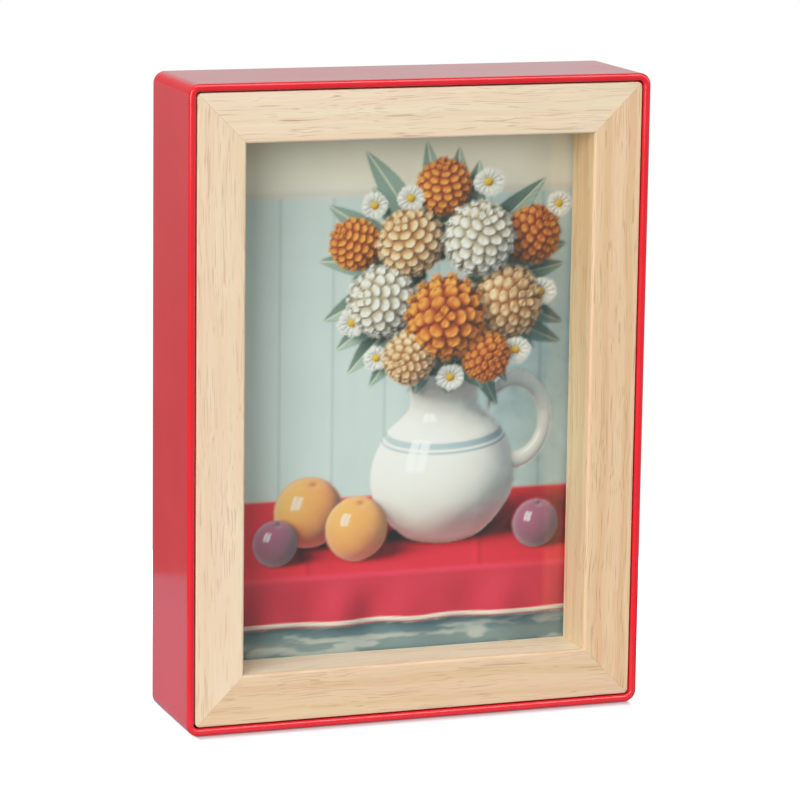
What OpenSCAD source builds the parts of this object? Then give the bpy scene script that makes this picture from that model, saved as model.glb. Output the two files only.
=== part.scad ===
// Deep box photo frame: a mitred wooden frame set inside a bent and welded metal band,
// glazed at the bottom of a deep reveal and loaded from the open back.
// Every piece is drawn as the frame lies on its back on a bench, face up: X to the right,
// Y to the top edge, Z out of the face. stand_up() then stands it on its bottom edge.

/* [Print] */
// Width of the print
print_w = 127; // [89:1:203]
// Height of the print
print_h = 178; // [127:1:254]
// Thickness of the print
print_t = 0.3; // [0.2:0.05:0.6]
// Play between the print and the rabbet, left and right
print_play_w = 0.4; // [0.2:0.1:1.5]
// Play between the print and the rabbet, top and bottom
print_play_h = 1.1; // [0.2:0.1:1.5]

/* [Wooden frame] */
// Width of a rail across its face
rail_w = 15.7; // [14.4:0.1:24]
// Depth of the reveal from the wooden face to the glass
reveal_d = 17.8; // [10:0.2:24]
// Width of the rabbet that holds the glass, print and board
rabbet_w = 6.9; // [4:0.1:7.5]
// Round-over on the inner front edge of a rail
sight_r = 0.9; // [0.3:0.1:2]
// Softening of the outer front edge of a rail
edge_r = 0.4; // [0.2:0.1:1]
// Radius of the wooden frame's four outer corners
rail_corner_r = 1.5; // [1:0.1:4]

/* [Metal band] */
// Thickness of the band
band_t = 2.35; // [2.1:0.05:3]
// Depth of the band from its front rim to its back rim
case_d = 40; // [37:0.5:60]
// Outer radius of the bends at the four corners
band_corner_r = 3.8; // [3.5:0.1:8]
// Radius of the edges of the front and back rims
rim_r = 1; // [0.2:0.05:1.05]
// How far the wooden face lies behind the front rim
face_recess = 0.55; // [0.1:0.05:2]
// Shadow gap between the band and the wooden frame, all round
band_gap = 0.45; // [0.3:0.05:1.5]

/* [Glass and backing board] */
// Thickness of the glass
glass_t = 2; // [1.6:0.1:3]
// Thickness of the backing board
board_t = 2.7; // [2:0.1:4]
// Play between the rabbet and the edges of the glass and the board
pane_play = 0.4; // [0.2:0.1:1]
// Radius of the thumb notch in the board's bottom edge
notch_r = 9; // [6:0.5:14]
// Depth of the thumb notch
notch_d = 6.5; // [3:0.5:6.5]

/* [Corner brackets] */
// Thickness of the bracket sheet
bracket_t = 1.2; // [0.8:0.1:1.5]
// Length of a bracket leg along the band
bracket_l = 26; // [22:1:32]
// Height of the flange that is welded to the band
flange_h = 9; // [6:0.5:12]
// Outer radius of the fold between plate and flange
fold_r = 1.6; // [1.5:0.1:2]
// Gap left between the bracket corner and the start of a flange
flange_start = 6; // [5:0.5:9]
// Distance from the rabbet edge to the inner edge of a bracket leg
bracket_setback = 1; // [0.5:0.1:1.5]
// Distance of a bracket screw from the end of its leg
bracket_screw_end = 6; // [4:0.5:8]

/* [Turn buttons] */
// Thickness of a turn button
button_t = 0.9; // [0.7:0.1:1.2]
// Radius of the round end at the pivot
button_pivot_r = 3.3; // [3:0.1:3.5]
// Radius of the tip
button_tip_r = 2.2; // [1.8:0.1:2.6]
// How far the tip reaches over the board
button_bite = 5.2; // [4:0.1:6]
// Height of the pressed collar round the pivot hole
collar_h = 0.5; // [0.3:0.1:0.8]
// Radius of the top of the pressed collar
collar_r = 2.2; // [2.1:0.1:2.4]
// Rise of the bent fingernail lift at the tip
lift_h = 1; // [0.5:0.1:1.5]

/* [Screws and corner nails] */
// Radius of a screw shank
shank_r = 1.3; // [1:0.1:1.4]
// Radius of a pan head
head_r = 2.5; // [2.3:0.1:2.8]
// Height of a pan head
head_h = 1.5; // [1.2:0.1:2]
// Length of a screw below its head
screw_l = 9.5; // [7:0.5:12]
// Length of the screw point
point_l = 2; // [1:0.5:3]
// Width of the arms of the cross recess
cross_w = 0.65; // [0.4:0.05:0.8]
// Depth of the cross recess
cross_d = 0.9; // [0.6:0.1:1]
// Thickness of a corner nail's steel
nail_t = 0.6; // [0.4:0.1:0.8]
// Length of each wing of a corner nail
nail_wing = 4; // [3:0.5:5]
// Height of a corner nail, driven in from the back
nail_h = 7; // [5:1:10]

/* [Hidden] */
$fn = 64;

// Corners as signs of X and Y, and the sides in the order of quarter turns from the top
TOP_LEFT = [-1, 1];
TOP_RIGHT = [1, 1];
BOTTOM_LEFT = [-1, -1];
BOTTOM_RIGHT = [1, -1];
CORNERS = [TOP_LEFT, TOP_RIGHT, BOTTOM_LEFT, BOTTOM_RIGHT];
SIDES = ["top", "left", "bottom", "right"];

// Clearances and the overrun of every cut
cut_over = 1;
swivel_fit = 0.06;
rub_gap = 0.1;
pilot_fit = 0.05;
screw_hole_play = 0.3;

// Wooden frame, from the print outwards
rabbet_d = glass_t + print_t + board_t;
rail_d = reveal_d + rabbet_d;
rabbet_open_w = print_w + 2 * print_play_w;
rabbet_open_h = print_h + 2 * print_play_h;
sight_w = rabbet_open_w - 2 * rabbet_w;
sight_h = rabbet_open_h - 2 * rabbet_w;
frame_w = sight_w + 2 * rail_w;
frame_h = sight_h + 2 * rail_w;
land_w = rail_w - rabbet_w;

// Band, round the wooden frame
inner_w = frame_w + 2 * band_gap;
inner_h = frame_h + 2 * band_gap;
case_w = inner_w + 2 * band_t;
case_h = inner_h + 2 * band_t;

// Levels, from the middle of the band's depth
face_z = case_d / 2 - face_recess;
glass_z = face_z - reveal_d;
print_z = glass_z - glass_t;
board_z = print_z - print_t;
back_z = face_z - rail_d;

// All screws and pivots stand on the middle of the land behind the rabbet
screw_line = band_gap + land_w / 2;
bracket_w = band_gap + land_w - bracket_setback;
bracket_screw_at = bracket_l - bracket_screw_end;
bracket_end_r = bracket_t;
weld_r = 1.5 * bracket_t;
weld_d = bracket_t / 8;
weld_shares = [0.25, 0.75];
button_place_share = 0.25;
button_place = print_h * button_place_share;
button_reach = land_w / 2 + pane_play + button_bite;
button_seat = button_t + collar_h + 2 * rub_gap;
lift_l = 1.3 * button_tip_r;
head_round_r = head_h / 2;
cross_l = 1.1 * head_r;
nail_inset = 6.9;
nail_half_angle = 50;

// Placing

function turn_of(side) = 90 * search([side], SIDES)[0];
function lies_across(side) = side == "top" || side == "bottom";

module stand_up() {
    translate([0, 0, case_h / 2]) rotate([90, 0, 0]) children();
}

// The band's inner corner c becomes the origin, with X and Y running inwards along its walls
module at_corner(c) {
    translate([c[0] * inner_w / 2, c[1] * inner_h / 2, 0])
        mirror([c[0] > 0 ? 1 : 0, 0, 0]) mirror([0, c[1] > 0 ? 1 : 0, 0]) children();
}

// Both legs of a corner bracket lie along X in turn
module on_both_legs() {
    children();
    mirror([1, -1, 0]) children();
}

module at_bracket_screws(c) {
    at_corner(c) on_both_legs() translate([bracket_screw_at, screw_line, back_z]) children();
}

// The pivot of turn button c, with X running from the pivot over the board
module at_pivot(c) {
    translate([c[0] * (inner_w / 2 - screw_line), c[1] * button_place, back_z])
        rotate([0, 0, c[0] > 0 ? 180 : 0]) children();
}

// The waste outside a rounded corner of radius r that points to +X +Y
module corner_waste(r) {
    difference() {
        square(r + cut_over);
        circle(r);
    }
}

// Metal band

module band_section() {
    difference() {
        translate([-band_t, -case_d / 2]) square([band_t, case_d]);
        for (end = [0, 1], side = [0, 1])
            mirror([0, end]) translate([-band_t / 2, 0]) mirror([side, 0])
                translate([band_t / 2 - rim_r, case_d / 2 - rim_r]) corner_waste(rim_r);
    }
}

module band_side(side) {
    side_l = lies_across(side) ? case_w : case_h;
    out = lies_across(side) ? case_h : case_w;
    rotate([0, 0, turn_of(side)]) translate([0, out / 2, 0]) rotate([90, 0, 90])
        linear_extrude(side_l - 2 * band_corner_r, center = true) band_section();
}

module band_bend(c) {
    turn = c[1] > 0 ? (c[0] > 0 ? 0 : 90) : (c[0] > 0 ? 270 : 180);
    translate([c[0] * (case_w / 2 - band_corner_r), c[1] * (case_h / 2 - band_corner_r), 0])
        rotate([0, 0, turn]) rotate_extrude(angle = 90) translate([band_corner_r, 0]) band_section();
}

module case_band() {
    color([0.87, 0.17, 0.22]) stand_up() {
        for (side = SIDES) band_side(side);
        for (c = CORNERS) band_bend(c);
    }
}

// Corner brackets

module bracket_plate() {
    difference() {
        union() {
            translate([fold_r, fold_r]) square([bracket_l - fold_r, bracket_w - fold_r]);
            translate([fold_r, fold_r]) square([bracket_w - fold_r, bracket_l - fold_r]);
        }
        on_both_legs() translate([bracket_l - bracket_end_r, bracket_w - bracket_end_r])
            corner_waste(bracket_end_r);
        on_both_legs() translate([bracket_screw_at, screw_line]) circle(shank_r + screw_hole_play);
    }
}

// Section of the fold and flange, with the plate's front face at the origin's height
module flange_section() {
    translate([0, -flange_h]) square([bracket_t, flange_h - fold_r]);
    intersection() {
        translate([0, -fold_r]) square(fold_r);
        translate([fold_r, -fold_r]) difference() {
            circle(fold_r);
            circle(fold_r - bracket_t);
        }
    }
}

module bracket_flange() {
    flange_l = bracket_l - flange_start;
    difference() {
        translate([flange_start, 0, 0]) rotate([90, 0, 90]) linear_extrude(flange_l) flange_section();
        for (share = weld_shares)
            translate([flange_start + share * flange_l, bracket_t - weld_d, (fold_r - flange_h) / 2 - fold_r])
                rotate([-90, 0, 0]) cylinder(h = weld_d + cut_over, r = weld_r);
    }
}

module corner_bracket(c) {
    color([0.72, 0.14, 0.18]) stand_up() at_corner(c) translate([0, 0, back_z]) {
        translate([0, 0, -bracket_t]) linear_extrude(bracket_t) bracket_plate();
        on_both_legs() bracket_flange();
    }
}

// Screws

module head_section() {
    difference() {
        square([head_r, head_h]);
        translate([head_r - head_round_r, head_h - head_round_r]) corner_waste(head_round_r);
    }
}

// A pan-head screw whose head seats at the origin and stands out along -Z
module pan_screw() {
    difference() {
        mirror([0, 0, 1]) rotate_extrude() head_section();
        for (turn = [0, 90]) rotate([0, 0, turn])
            translate([-cross_l / 2, -cross_w / 2, -head_h - cut_over])
                cube([cross_l, cross_w, cross_d + cut_over]);
    }
    cylinder(h = screw_l - point_l, r = shank_r);
    translate([0, 0, screw_l - point_l]) cylinder(h = point_l, r1 = shank_r, r2 = shank_r / 8);
}

// The pilot hole of a screw whose head seats a height off the wood
module pilot_hole(seat) {
    translate([0, 0, -cut_over]) cylinder(h = screw_l - seat + pilot_fit + cut_over, r = shank_r + pilot_fit);
}

module bracket_screws(c) {
    color("silver") stand_up() at_bracket_screws(c) translate([0, 0, -bracket_t]) pan_screw();
}

module turn_button_screws() {
    color("silver") stand_up() for (c = CORNERS) at_pivot(c) translate([0, 0, -button_seat]) pan_screw();
}

// Corner nails

// A V of sheet steel astride the mitre, grown by a clearance all round
module nail_section(grow) {
    circle(nail_t / 2 + grow);
    for (side = [-1, 1]) rotate(45 + side * nail_half_angle)
        translate([0, -nail_t / 2 - grow]) square([nail_wing + grow, nail_t + 2 * grow]);
}

module at_nail(c) {
    inset = band_gap + nail_inset * cos(45);
    at_corner(c) translate([inset, inset, back_z]) children();
}

module corner_nail(c) {
    color("dimgray") stand_up() at_nail(c) linear_extrude(nail_h) nail_section(0);
}

// Wooden frame

module rail_section() {
    difference() {
        translate([-rail_w, back_z]) square([rail_w, rail_d]);
        translate([-edge_r, face_z - edge_r]) corner_waste(edge_r);
        translate([sight_r - rail_w, face_z - sight_r]) mirror([1, 0]) corner_waste(sight_r);
        translate([-rail_w - cut_over, back_z - cut_over])
            square([rabbet_w + cut_over, rabbet_d + cut_over]);
    }
}

// A length of moulding along X, cut to 45 degrees at both ends, its outer edge at Y = 0
module mitred_rail(rail_l) {
    outer = rail_l / 2 + cut_over;
    inner = rail_l / 2 - rail_w - cut_over;
    intersection() {
        rotate([90, 0, 90]) linear_extrude(2 * outer, center = true) rail_section();
        translate([0, 0, back_z - cut_over]) linear_extrude(rail_d + 2 * cut_over)
            polygon([[-outer, cut_over], [outer, cut_over],
                     [inner, -rail_w - cut_over], [-inner, -rail_w - cut_over]]);
    }
}

module wooden_rail(side) {
    rail_l = lies_across(side) ? frame_w : frame_h;
    out = lies_across(side) ? frame_h : frame_w;
    color([0.91, 0.8, 0.64]) stand_up() difference() {
        rotate([0, 0, turn_of(side)]) translate([0, out / 2, 0]) difference() {
            mitred_rail(rail_l);
            for (end = [0, 1]) mirror([end, 0, 0])
                translate([rail_l / 2 - rail_corner_r, -rail_corner_r, back_z - cut_over])
                    linear_extrude(rail_d + 2 * cut_over) corner_waste(rail_corner_r);
        }
        for (c = CORNERS) {
            at_bracket_screws(c) pilot_hole(bracket_t);
            at_nail(c) translate([0, 0, -cut_over]) linear_extrude(nail_h + pilot_fit + cut_over)
                nail_section(pilot_fit);
            at_pivot(c) pilot_hole(button_seat);
        }
    }
}

// Glass, print and backing board

module pane(w, h, t, z) {
    translate([-w / 2, -h / 2, z - t]) cube([w, h, t]);
}

module glass_pane() {
    color([0.75, 0.88, 0.86, 0.35]) stand_up()
        pane(rabbet_open_w - 2 * pane_play, rabbet_open_h - 2 * pane_play, glass_t, glass_z);
}

module photo_print() {
    color([0.78, 0.8, 0.76]) stand_up() pane(print_w, print_h, print_t, print_z);
}

module backing_board() {
    board_h = rabbet_open_h - 2 * pane_play;
    color([0.45, 0.32, 0.22]) stand_up() difference() {
        pane(rabbet_open_w - 2 * pane_play, board_h, board_t, board_z);
        translate([0, notch_d - notch_r - board_h / 2, back_z - cut_over])
            cylinder(h = board_t + 2 * cut_over, r = notch_r);
    }
}

// Turn buttons

// Two circles with their common tangents: the pivot end at the origin, the tip out along X
module button_outline() {
    tip_x = button_reach - button_tip_r;
    slope = acos((button_pivot_r - button_tip_r) / tip_x);
    pivot_t = button_pivot_r * [cos(slope), sin(slope)];
    tip_t = [tip_x, 0] + button_tip_r * [cos(slope), sin(slope)];
    circle(button_pivot_r);
    translate([tip_x, 0]) circle(button_tip_r);
    polygon([pivot_t, tip_t, [tip_t[0], -tip_t[1]], [pivot_t[0], -pivot_t[1]]]);
}

// Side view of the strip: flat on the board, then bent up to the fingernail lift
module button_side() {
    bend_x = button_reach - lift_l;
    polygon([[-button_pivot_r - cut_over, 0], [bend_x, 0],
             [button_reach + cut_over, lift_h * (lift_l + cut_over) / lift_l],
             [button_reach + cut_over, lift_h * (lift_l + cut_over) / lift_l + button_t],
             [bend_x, button_t], [-button_pivot_r - cut_over, button_t]]);
}

module turn_button(c) {
    color("gainsboro") stand_up() at_pivot(c) mirror([0, 0, 1]) translate([0, 0, rub_gap]) difference() {
        union() {
            intersection() {
                linear_extrude(button_t + 2 * lift_h) button_outline();
                rotate([90, 0, 0]) linear_extrude(2 * button_pivot_r + cut_over, center = true) button_side();
            }
            translate([0, 0, button_t]) cylinder(h = collar_h, r1 = button_pivot_r - collar_h, r2 = collar_r);
        }
        translate([0, 0, -cut_over])
            cylinder(h = button_t + collar_h + 2 * cut_over, r = shank_r + swivel_fit);
    }
}

case_band();
corner_bracket(TOP_LEFT);  // corner_bracket_top_left
corner_bracket(TOP_RIGHT);  // corner_bracket_top_right
corner_bracket(BOTTOM_LEFT);  // corner_bracket_bottom_left
corner_bracket(BOTTOM_RIGHT);  // corner_bracket_bottom_right
bracket_screws(TOP_LEFT);  // bracket_screws_top_left
bracket_screws(TOP_RIGHT);  // bracket_screws_top_right
bracket_screws(BOTTOM_LEFT);  // bracket_screws_bottom_left
bracket_screws(BOTTOM_RIGHT);  // bracket_screws_bottom_right
wooden_rail("top");  // frame_rail_top
wooden_rail("bottom");  // frame_rail_bottom
wooden_rail("left");  // frame_stile_left
wooden_rail("right");  // frame_stile_right
corner_nail(TOP_LEFT);  // corner_nail_top_left
corner_nail(TOP_RIGHT);  // corner_nail_top_right
corner_nail(BOTTOM_LEFT);  // corner_nail_bottom_left
corner_nail(BOTTOM_RIGHT);  // corner_nail_bottom_right
glass_pane();
photo_print();
backing_board();
turn_button(TOP_LEFT);  // turn_button_upper_left
turn_button(TOP_RIGHT);  // turn_button_upper_right
turn_button(BOTTOM_LEFT);  // turn_button_lower_left
turn_button(BOTTOM_RIGHT);  // turn_button_lower_right
turn_button_screws();
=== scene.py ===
# %% [markdown]
# # A deep box photo frame
#
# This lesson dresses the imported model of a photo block: a red coated metal band, a mitred frame
# of pale hardwood inside it, and a print behind glass at the bottom of a deep wooden reveal.
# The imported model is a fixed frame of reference: every new piece takes its place from the boxes
# of its nodes, so that nothing has to be fitted afterwards.

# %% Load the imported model
import bpy
import numpy as np
from mathutils import Matrix, Vector


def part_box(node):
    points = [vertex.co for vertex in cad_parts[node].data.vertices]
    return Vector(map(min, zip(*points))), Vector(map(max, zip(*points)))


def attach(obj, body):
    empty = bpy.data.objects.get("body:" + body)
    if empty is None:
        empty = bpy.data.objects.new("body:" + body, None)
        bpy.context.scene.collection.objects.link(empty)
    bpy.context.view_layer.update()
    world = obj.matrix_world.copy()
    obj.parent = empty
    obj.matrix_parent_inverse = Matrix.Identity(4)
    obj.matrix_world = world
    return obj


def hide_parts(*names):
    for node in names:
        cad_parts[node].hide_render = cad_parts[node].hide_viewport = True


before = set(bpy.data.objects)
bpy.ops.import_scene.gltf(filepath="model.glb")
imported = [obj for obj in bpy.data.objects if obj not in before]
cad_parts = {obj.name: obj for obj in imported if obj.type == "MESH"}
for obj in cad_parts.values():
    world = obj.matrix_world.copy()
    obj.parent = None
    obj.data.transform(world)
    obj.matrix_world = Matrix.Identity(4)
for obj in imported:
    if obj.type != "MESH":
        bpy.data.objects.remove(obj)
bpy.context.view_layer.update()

MM = 0.001
BODY = "frame"

# %% [markdown]
# ## Camera
#
# The picture was taken from the left and a little above, with a long lens: the frame's sides
# hardly converge. A camera could be aimed by eye, but the edges of a box fix its view exactly, so
# its angles, distance and focal length were solved from them and stand here as real sizes. The
# aim point lies on the front of the band, a few millimetres from its middle.

# %% Place the camera
FROM_LEFT = np.radians(19.678)
FROM_ABOVE = np.radians(10.838)
TILT = np.radians(0.772)
DISTANCE = 1231.55 * MM
ASIDE, BELOW = 6.45 * MM, 1.21 * MM
FOCAL_LENGTH, SENSOR = 177.69, 36.0

case_low, case_high = (np.array(corner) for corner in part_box("case_band"))
centre_front = np.array([0.0, case_low[1], (case_low[2] + case_high[2]) / 2])
ahead = np.array([np.sin(FROM_LEFT) * np.cos(FROM_ABOVE), np.cos(FROM_LEFT) * np.cos(FROM_ABOVE),
                  -np.sin(FROM_ABOVE)])
level = np.array([np.cos(FROM_LEFT), -np.sin(FROM_LEFT), 0.0])
upright = np.cross(level, ahead)
right = level * np.cos(TILT) + upright * np.sin(TILT)
up = upright * np.cos(TILT) - level * np.sin(TILT)
eye_place = centre_front - right * ASIDE + up * BELOW - ahead * DISTANCE


def add(name, data):
    """A new object in the scene for a camera, a mesh or a lamp."""
    made = bpy.data.objects.new(name, data)
    bpy.context.scene.collection.objects.link(made)
    return made


camera = add("camera", bpy.data.cameras.new("camera"))
camera.data.lens, camera.data.sensor_width = FOCAL_LENGTH, SENSOR
axes = np.array([right, up, -ahead]).T
camera.matrix_world = Matrix([[*row, place] for row, place in zip(axes, eye_place)] + [[0, 0, 0, 1]])
bpy.context.scene.camera = camera
bpy.context.scene.view_settings.view_transform = "Standard"
print("camera at", eye_place.round(3))

# %% [markdown]
# ## Small tools for nodes
#
# A material is a graph of nodes. Short helpers keep the graphs readable: begin() names the tree
# that nodes go into, put() adds a node and sets or links its inputs, and group() makes a shader
# node group with named inputs and outputs, for an effect that several materials share.

# %% Node helpers
GRAPH = {}


def begin(tree):
    """Makes this the tree that the other helpers add nodes to."""
    GRAPH["tree"] = tree
    return tree


def link(start, end):
    """Links an output socket to an input socket."""
    GRAPH["tree"].links.new(start, end)


def join(made, inputs):
    """Sets or links a node's inputs, which are given by name or number."""
    for name, value in inputs.items():
        if isinstance(value, bpy.types.NodeSocket):
            link(value, made.inputs[name])
        else:
            made.inputs[name].default_value = value
    return made


def put(kind, inputs=None, **settings):
    """Adds a shader node, gives it its settings, and sets or links its inputs."""
    made = GRAPH["tree"].nodes.new("ShaderNode" + kind)
    for name, value in settings.items():
        setattr(made, name, value)
    return join(made, inputs or {})


def mix(share, first, second, how="MIX"):
    """Blends two colours: share 0 gives the first and 1 the second."""
    return put("Mix", {0: share, 6: first, 7: second}, data_type="RGBA", blend_type=how).outputs[2]


def math(how, *values):
    """One sum on one to three values."""
    return put("Math", dict(enumerate(values)), operation=how).outputs[0]


def times(first, second):
    """The product of two values."""
    return math("MULTIPLY", first, second)


def plus(first, second):
    """Their sum."""
    return math("ADD", first, second)


def vector(how, *values):
    """One sum on one or two vectors. Its outputs are a vector and a number."""
    return put("VectorMath", dict(enumerate(values)), operation=how).outputs


def stretch(place, *scale):
    """A place with its three measures multiplied by three scales, or all by the same one."""
    return vector("MULTIPLY", place, scale if len(scale) == 3 else scale * 3)[0]


def rise(value, low, high, least=0.0, most=1.0):
    """Rises smoothly from least at low to most at high."""
    ends = {0: value, 1: low, 2: high, 3: least, 4: most}
    return put("MapRange", ends, interpolation_type="SMOOTHSTEP").outputs[0]


def noise(place, detail=2.0, rough=0.5):
    """Cloudy noise about 0.5, with features one unit wide, as a number and as a colour."""
    return put("TexNoise", {"Vector": place, "Scale": 1.0, "Detail": detail, "Roughness": rough}).outputs


# %% Places and heights
def millimetres(move=(0, 0, 0), turn=(0, 0, 0)):
    """Object coordinates in millimetres, turned and moved, so that each piece has its own pattern."""
    place = put("TexCoord").outputs["Object"]
    scale = (1 / MM, 1 / MM, 1 / MM)
    return put("Mapping", {"Vector": place, "Location": move, "Rotation": turn, "Scale": scale}).outputs[0]


def measures(place):
    """A place's three measures, by the names X, Y and Z."""
    return put("SeparateXYZ", {0: place}).outputs


def bump(height, depth):
    """A normal from a height, where 1 is depth metres."""
    return put("Bump", {"Height": height, "Distance": depth}).outputs[0]


# %% Groups and materials
def group(name, colours, numbers):
    """Begins a node group that works out a look from a place, some colours and some numbers. Gives
    it, its input sockets and its output node."""
    tree = begin(bpy.data.node_groups.new(name, "ShaderNodeTree"))
    for way, kind, sockets in (("INPUT", "Vector", ["Place"]), ("INPUT", "Color", colours),
                               ("INPUT", "Float", numbers), ("OUTPUT", "Color", ["Color"]),
                               ("OUTPUT", "Float", ["Roughness", "Height"])):
        for socket in sockets:
            tree.interface.new_socket(socket, in_out=way, socket_type="NodeSocket" + kind)
    return tree, tree.nodes.new("NodeGroupInput").outputs, tree.nodes.new("NodeGroupOutput")


def material(name, **plain):
    """Begins a material. Gives it, its Principled shader and its surface socket. Plain numbers go on
    the shader's own sockets, where an underscore stands for a space."""
    made = bpy.data.materials.new(name)
    made.use_nodes = True
    begin(made.node_tree).nodes.clear()
    surface = put("OutputMaterial").inputs["Surface"]
    shader = put("BsdfPrincipled", {socket.replace("_", " "): value for socket, value in plain.items()})
    link(shader.outputs[0], surface)
    return made, shader, surface


def wear(shader, look, place, bump_depth, **inputs):
    """Places a look's group and links what it puts out to the shader."""
    parts = put("Group", {"Place": place, **inputs}, node_tree=look).outputs
    join(shader, {"Base Color": parts["Color"], "Roughness": parts["Roughness"],
                  "Normal": bump(parts["Height"], bump_depth)})


# %% Colours
def linear(*levels):
    """The linear light of a colour written as sRGB levels up to 255: a straight line where it is
    dark, and above that the power 2.4."""
    c = np.array(levels, float) / 255
    return np.where(c <= 0.04045, c / 12.92, ((c + 0.055) / 1.055) ** 2.4)


def paint(*levels):
    """The same for a colour socket, with full alpha."""
    return (*linear(*levels), 1.0)


WHITE = (1, 1, 1, 1)
MOST_NOISE = (0.35, 0.65)
print("linear light of level 128:", linear(128).round(3))

# %% [markdown]
# ## Small tools for meshes
#
# Each new surface is a grid of points worked out as one numpy array: a profile carried along a
# path, or a function of two parameters. The grid's cells become quads. Whether the faces point
# outwards is read from the sign of the volume that they enclose, so no shape has to be turned
# round by eye.

# %% Mesh helpers
def quads(rows, columns, closed_rows=False, closed_columns=False):
    """The four corner numbers of every cell of a grid, which may close on itself either way."""
    number = np.arange(rows * columns).reshape(rows, columns)
    if closed_rows:
        number = np.vstack([number, number[:1]])
    if closed_columns:
        number = np.hstack([number, number[:, :1]])
    corners = [number[:-1, :-1], number[:-1, 1:], number[1:, 1:], number[1:, :-1]]
    return np.stack(corners, -1).reshape(-1, 4)


def enclosed(points, groups):
    """The volume inside closed faces: each face is a fan of triangles from its first corner, and
    each triangle adds a sixth of the triple product of its corners."""
    total = 0.0
    for faces in groups:
        first, middle, last = points[faces[:, :1]], points[faces[:, 1:-1]], points[faces[:, 2:]]
        total += (np.cross(np.broadcast_to(first, middle.shape), middle) * last).sum()
    return total / 6


def mesh_of(name, points, faces):
    """A mesh from points in millimetres. Faces are lists of corner numbers."""
    mesh = bpy.data.meshes.new(name)
    mesh.from_pydata((points * MM).tolist(), [], faces)
    return mesh


# %% A piece that stands for a node
def piece(name, points, groups, slot, node, finish, body=BODY, sharp=35.0):
    """A mesh in millimetres put into the scene in metres, riding on a body and standing for a
    node of the frame. Faces come in groups, one group for each number of corners."""
    points = np.asarray(points, float).reshape(-1, 3)
    groups = [np.atleast_2d(faces) for faces in groups]
    volume = enclosed(points, groups)
    if volume < 0:
        groups = [faces[:, ::-1] for faces in groups]
    mesh = mesh_of(name, points, [face for faces in groups for face in faces.tolist()])
    mesh.shade_smooth()
    mesh.set_sharp_from_angle(angle=np.radians(sharp))
    mesh.materials.append(finish)
    made = add(name, mesh)
    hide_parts(node)
    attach(made, body)
    print(name, "faces", len(mesh.polygons), "encloses", round(abs(volume) / 1000, 2), "cm3")
    return made


def arc(centre, radius, start, end, steps):
    """Points on a circle's arc from start to end, in degrees."""
    angle = np.radians(np.linspace(start, end, steps + 1))[:, None]
    return np.array(centre) + radius * np.hstack([np.cos(angle), np.sin(angle)])


# %% [markdown]
# ## Floor, background and light
#
# The photograph is a studio shot on white, with hardly any shadow. More light would make the
# white, but it would bleach the pale wood. So the world shows plain white to the camera alone and
# gives the object only a soft grey light. What gloss mirrors is a dim studio in a cool light:
# darker in front, with a paler wall low down at the back right and a soft panel above the camera
# that only the rounded rims catch. The floor is a round table top under a veil of white that
# thins towards the object, so the shadow right at its foot stays; the thin veil there also
# paints part of the dark line at the foot as painted shade. Near the foot the veil turns rosy, a
# painted reflection of the red band. To gloss the floor shows painted reflection colours of its
# own: cool, darker in front where the glass mirrors it, and a faint painted glow at the foot.

# %% The world outside
SKY_FILL = 0.20
COOL = (0.76, 1.0, 1.0, 1)
ROOM_GREY, ROOM_FRONT = 0.25, 0.28
WALL_PALE, WALL_FALLS = 0.47, (0.24, 0.60)
PANEL_BRIGHT, PANEL_WAY, PANEL_EDGE = 6.0, (0.31, -0.63, 0.71), (0.93, 0.985)
HORIZON_GLOW, HORIZON_FOOT, HORIZON_TOP = 0.13, (-0.20, -0.10), 0.06

world = bpy.data.worlds.new("studio")
bpy.context.scene.world = world
world.use_nodes = True
begin(world.node_tree).nodes.clear()
rays = put("LightPath").outputs
outwards = put("TexCoord").outputs["Generated"]
way = measures(outwards)
right_back = rise(math("MULTIPLY_ADD", way["Y"], 0.35, way["X"]), 0.1, 0.5)
wall_light = times(times(right_back, rise(way["Z"], *WALL_FALLS, 1.0, 0.0)), WALL_PALE)
to_panel = vector("DOT_PRODUCT", outwards, PANEL_WAY)["Value"]
panel_light = rise(to_panel, *PANEL_EDGE, 0.0, PANEL_BRIGHT)
horizon = times(rise(way["Z"], 0.0, HORIZON_TOP, 1.0, 0.0), rise(way["Z"], *HORIZON_FOOT))
horizon = times(horizon, rise(way["Y"], 0.0, 0.4, 0.0, HORIZON_GLOW))
room_light = plus(rise(way["Y"], -0.3, 0.2, ROOM_FRONT, ROOM_GREY), horizon)
mirrored = plus(plus(wall_light, panel_light), room_light)
unseen = put("Mix", {0: rays["Is Glossy Ray"], 2: SKY_FILL, 3: mirrored}).outputs[0]
strength = put("Mix", {0: rays["Is Camera Ray"], 2: unseen, 3: 1.0}).outputs[0]
sky = put("Background", {"Color": mix(rays["Is Glossy Ray"], WHITE, COOL), "Strength": strength})
link(sky.outputs[0], put("OutputWorld").inputs["Surface"])
print("world nodes", len(world.node_tree.nodes))

# %% The table top
TABLE_R = 232.0
TABLE_RINGS, TABLE_SPOKES = 24, 96
FLOOR_DROP = 0.02


def table_top():
    """A flat disc: rings whose radius grows as the square of their number, round a middle point."""
    ring = TABLE_R * (np.arange(1, TABLE_RINGS + 1) / TABLE_RINGS) ** 2
    turn = np.arange(TABLE_SPOKES) * 2 * np.pi / TABLE_SPOKES
    x, y = ring[:, None] * np.cos(turn), ring[:, None] * np.sin(turn)
    points = np.stack([x, y, np.full_like(x, -FLOOR_DROP)], -1).reshape(-1, 3)
    first = np.arange(TABLE_SPOKES)
    fan = np.stack([np.full_like(first, len(points)), first, np.roll(first, -1)], -1)
    cells = quads(TABLE_RINGS, TABLE_SPOKES, closed_columns=True)[:, ::-1]
    return np.vstack([points, [0, 0, -FLOOR_DROP]]), cells.tolist() + fan.tolist()


floor_mesh = mesh_of("table_top", *table_top())
floor = add("table_top", floor_mesh)
print("table faces", len(floor_mesh.polygons))
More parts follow.
